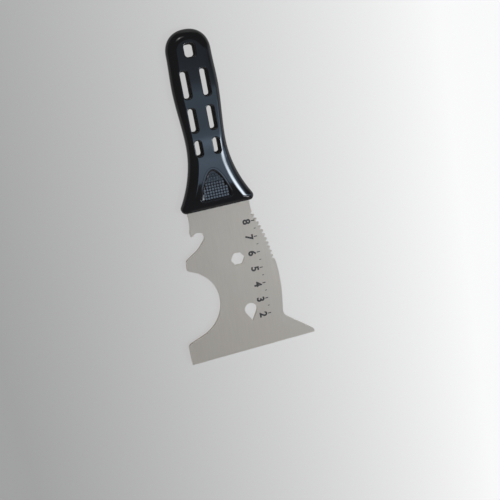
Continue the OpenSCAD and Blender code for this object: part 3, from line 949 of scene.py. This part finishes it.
scaleTicks, scaleFigures = makeTicks(), makeFigures()
print("scale printed", len(scaleTicks.data.polygons), len(scaleFigures.data.polygons))


camera = {
    "at": (-71.5, 70.7, 358.9), "focal": 620.0, "centre": (215.0, 195.0), "picture": 500,
    "sensor": 36.0, "right": (0.95898, -0.18720, 0.21286), "down": (-0.22081, -0.96420, 0.14683),
    "ahead": (0.17776, -0.18781, -0.96599),
}


def makeCamera():
    picture, sensor = camera["picture"], camera["sensor"]
    data = bpy.data.cameras.new("camera")
    data.sensor_width, data.sensor_fit = sensor, "AUTO"
    data.lens = camera["focal"] / picture * sensor
    data.shift_x = (picture / 2 - camera["centre"][0]) / picture
    data.shift_y = (camera["centre"][1] - picture / 2) / picture
    data.clip_start = 0.01
    right, down, ahead = (Vector(camera[k]) for k in ("right", "down", "ahead"))
    turn = Matrix((right, -down, -ahead)).transposed().to_4x4()
    viewer = linkObject("camera", data)
    viewer.matrix_world = Matrix.Translation(Vector(camera["at"]) * mm) @ turn
    bpy.context.scene.camera = viewer


# Lamps: where, how they are turned or what they face, size, radiance and colour. Each shows in the
# gloss of the handle. Along its length and across its width a lamp gets dimmer as its stops say,
# [share of the way, share of the light], so that its reflection ends as softly as in the photo.
peak = [(0.0, 0.0), (0.5, 1.0), (1.0, 0.0)]
narrowPeak = [(0.0, 0.0), (0.3, 0.3), (0.5, 1.0), (0.7, 0.3), (1.0, 0.0)]
widePeak = [(0.0, 0.0), (0.3, 0.8), (0.5, 1.0), (0.7, 0.8), (1.0, 0.0)]
lamps = {
    "strip": {
        "at": (0.1785, -0.0305, 0.35), "turn": 5.5, "size": (0.203, 0.042),
        "radiance": 30.0, "colour": "#e6f1fb",
        "along": [(0.0, 0.0), (0.07, 0.05), (0.15, 0.47), (0.26, 0.92), (0.4, 1.0), (0.64, 0.79),
                  (0.76, 0.36), (1.0, 0.05)],
        "across": [(0.0, 0.55), (0.2, 0.9), (0.5, 0.9), (0.72, 0.7), (0.9, 0.5), (1.0, 0.1)]},
    "stripTail": {
        "at": (0.1610, -0.0630, 0.35), "turn": 0, "size": (0.115, 0.0315),
        "radiance": 13.0, "colour": "#e6f1fb",
        "along": [(0.0, 0.25), (0.25, 1.0), (0.8, 0.9), (1.0, 0.5)],
        "across": [(0.0, 0.05), (0.25, 0.15), (0.5, 0.42), (0.75, 0.8), (1.0, 1.0)]},
    "spark": {
        "at": (0.1580, -0.0900, 0.35), "turn": 0, "size": (0.105, 0.030),
        "radiance": 5.0, "colour": "#e6f1fb",
        "along": [(0.0, 0.1), (0.3, 1.0), (0.7, 1.0), (1.0, 0.1)],
        "across": [(0.0, 0.1), (0.4, 1.0), (1.0, 0.6)]},
    "sill": {
        "at": (0.214, -0.1655, 1.0), "turn": -8, "size": (0.032, 0.011),
        "radiance": 2.0, "colour": "#bedcfb"},
    "panel": {
        "at": (0.835, -0.001, 1.0), "turn": -1, "size": (1.53, 0.34),
        "radiance": 3.4, "colour": "#bedcfb",
        "along": [(0.0, 0.2), (0.012, 1.0), (1.0, 1.0)],
        "across": [(0.0, 0.55), (0.06, 0.62), (0.14, 0.76), (0.19, 0.62), (0.23, 0.76),
                   (0.265, 0.98), (0.30, 0.5), (0.36, 0.39), (0.5, 0.40), (0.58, 0.42),
                   (0.67, 0.165), (0.8, 0.11), (0.9, 0.08), (1.0, 0.07)]},
    "butt": {
        "at": (-0.01, 0.58, 1.0), "turn": 0, "size": (0.34, 0.28),
        "radiance": 8.5, "colour": "#ffffff", "along": narrowPeak, "across": narrowPeak},
    "rim": {
        "at": (0.56, -0.25, 0.8), "turn": -12, "size": (0.40, 0.12),
        "radiance": 9.0, "colour": "#f2f6ff", "along": widePeak, "across": widePeak},
    "wall": {
        "at": (1.65, -0.15, 0.45), "aim": (0, -0.1, 0.2), "size": (1.0, 1.0),
        "radiance": 0.5, "colour": "#d4e6fb", "along": [(0.0, 1.0), (0.7, 1.0), (1.0, 0.2)]},
    "front": {
        "at": (0.1, -1.2, 0.9), "aim": (0, 0, 0), "size": (1.6, 0.8),
        "radiance": 0.35, "colour": "#ffffff"},
    "corner": {
        "at": (0.75, -0.75, 0.75), "aim": (0, 0, 0), "size": (0.6, 0.5),
        "radiance": 0.4, "colour": "#ffffff"},
    "low": {
        "at": (-0.28, -0.42, 0.3), "aim": (0, -0.06, 0), "size": (0.45, 0.3),
        "radiance": 1.7, "colour": "#fff8f0", "along": peak, "across": peak},
    "back": {
        "at": (0.35, 1.3, 0.5), "aim": (0, 0, 0), "size": (1.2, 0.7),
        "radiance": 0.7, "colour": "#ffffff", "along": peak, "across": peak},
    "fill": {
        "at": (-0.2, 0.1, 1.7), "turn": 0, "size": (2.0, 2.0),
        "radiance": 1.4, "colour": "#ffffff", "matt": True},
}


def makeLamps():
    for name, spec in lamps.items():
        data = bpy.data.lights.new(name, "AREA")
        data.shape = "RECTANGLE"
        data.size, data.size_y = spec["size"]
        data.energy = spec["radiance"] * math.pi * data.size * data.size_y
        data.color = linear(spec["colour"])[:3]
        data.use_nodes = True
        tree = data.node_tree
        tree.nodes.clear()
        place = addNode(tree, "ShaderNodeNewGeometry").outputs["Parametric"]
        ways = addNode(tree, "ShaderNodeSeparateXYZ", links={0: place}).outputs
        level = None
        for way, axis in (("along", "X"), ("across", "Y")):
            if way not in spec:
                continue
            ramp = addNode(tree, "ShaderNodeValToRGB", links={0: ways[axis]})
            stops = ramp.color_ramp.elements
            while len(stops) < len(spec[way]):
                stops.new(0.5)
            for stop, (at, share) in zip(stops, spec[way]):
                stop.position, stop.color = at, (share, share, share, 1)
            level = addNode(tree, "ShaderNodeMath", {"operation": "MULTIPLY"}, {
                0: level, 1: ramp}) if level else ramp
        glow = addNode(tree, "ShaderNodeEmission", links={"Strength": level} if level else None)
        addNode(tree, "ShaderNodeOutputLight", links={"Surface": glow})
        lamp = linkObject(name, data)
        lamp.location = spec["at"]
        if "aim" in spec:
            ahead = Vector(spec["aim"]) - Vector(spec["at"])
            lamp.rotation_euler = ahead.to_track_quat("-Z", "Y").to_euler()
        else:
            lamp.rotation_euler = (0, 0, math.radians(spec["turn"]))
        lamp.visible_camera = False
        lamp.visible_glossy = not spec.get("matt", False)


sky = {"height": (0.0, 0.45), "level": (0.6, 0.14)}  # paler at the horizon than overhead


def makeWorld():
    world = bpy.data.worlds.new("studio")
    world.use_nodes = True
    tree = world.node_tree
    tree.nodes.clear()
    where = addNode(tree, "ShaderNodeTexCoord").outputs["Generated"]
    height = addNode(tree, "ShaderNodeSeparateXYZ", links={0: where}).outputs["Z"]
    level = addNode(
        tree, "ShaderNodeMapRange", {"interpolation_type": "SMOOTHSTEP"}
        | span("From", sky["height"]) | span("To", sky["level"]), {"Value": height})
    shade = addNode(tree, "ShaderNodeBackground", {"Color": linear("#ffffff")}, {
        "Strength": level})
    addNode(tree, "ShaderNodeOutputWorld", links={"Surface": shade})
    bpy.context.scene.world = world


floor = {
    "colour": "#e4e4e4", "fibre": 1.5, "roughness": (0.8, 0.95), "reach": 4.0, "gap": 0.05,
    "glow": (0.6, 0.988), "glowPower": 2.2, "across": (-0.148, 0.155), "kept": 0.1,
}


def makeFloor():
    # Pale matt card, evenly lit: most of what the camera sees of it is a glow, painted darker on
    # the left and brighter on the right as a painted falloff of light, and the rest is its own
    # shading, which keeps the tool's shadow
    material, tree, where = newMaterial("paleMattCard")
    fibre = addNode(tree, "ShaderNodeTexNoise", {
        "Scale": 1 / (floor["fibre"] * mm), "Detail": 4.0}, {"Vector": where})
    roughness = addNode(tree, "ShaderNodeMapRange", span("To", floor["roughness"]), {
        "Value": fibre})
    card = addNode(tree, "ShaderNodeBsdfPrincipled", {
        "Base Color": linear(floor["colour"]), "Specular IOR Level": 0.2}, {
        "Roughness": roughness})
    across = addNode(tree, "ShaderNodeSeparateXYZ", links={0: where}).outputs["X"]
    # The glow is painted darker towards -x and brighter towards +x: a painted falloff of light
    paintedFalloff = addNode(tree, "ShaderNodeMapRange",
                   span("From", floor["across"]) | span("To", floor["glow"]), {"Value": across})
    level = addNode(tree, "ShaderNodeMath", {"operation": "POWER", 1: floor["glowPower"]}, {
        0: paintedFalloff})
    glow = addNode(tree, "ShaderNodeEmission", links={"Strength": level})
    path = addNode(tree, "ShaderNodeLightPath").outputs
    seen = path["Is Camera Ray"]
    for ray in ("Is Glossy Ray", "Is Transmission Ray"):
        seen = addNode(tree, "ShaderNodeMath", {"operation": "MAXIMUM"}, {0: seen, 1: path[ray]})
    share = addNode(tree, "ShaderNodeMath", {"operation": "MULTIPLY", 1: 1 - floor["kept"]}, {
        0: seen})
    mixed = addNode(tree, "ShaderNodeMixShader", links={0: share, 1: card, 2: glow})
    addNode(tree, "ShaderNodeOutputMaterial", links={"Surface": mixed})
    mesh = bpy.data.meshes.new("floor")
    reach, low = floor["reach"], cadBox[0].z - floor["gap"] * mm
    corners = [(x * reach, y * reach, low) for x, y in ((-1, -1), (1, -1), (1, 1), (-1, 1))]
    mesh.from_pydata(corners, [], [(0, 1, 2, 3)])
    mesh.materials.append(material)
    linkObject("floor", mesh)


makeCamera()
makeLamps()
makeWorld()
makeFloor()
bpy.context.scene.view_settings.view_transform = "Standard"
print("studio made")


# What each piece rides on, which node it replaces and which slot it is in
for piece, node, slot in (
        (scraperBlade, "blade", "satin_steel"),
        (handleFront, "handle_front", "black_plastic"),
        (handleBack, "handle_back", "black_plastic"),
        (gripPipsFront, None, "black_plastic"), (gripPipsBack, None, "black_plastic"),
        (scaleTicks, None, "satin_steel"), (scaleFigures, None, "satin_steel")):
    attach(piece, "root")
    if node:
        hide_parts(node)
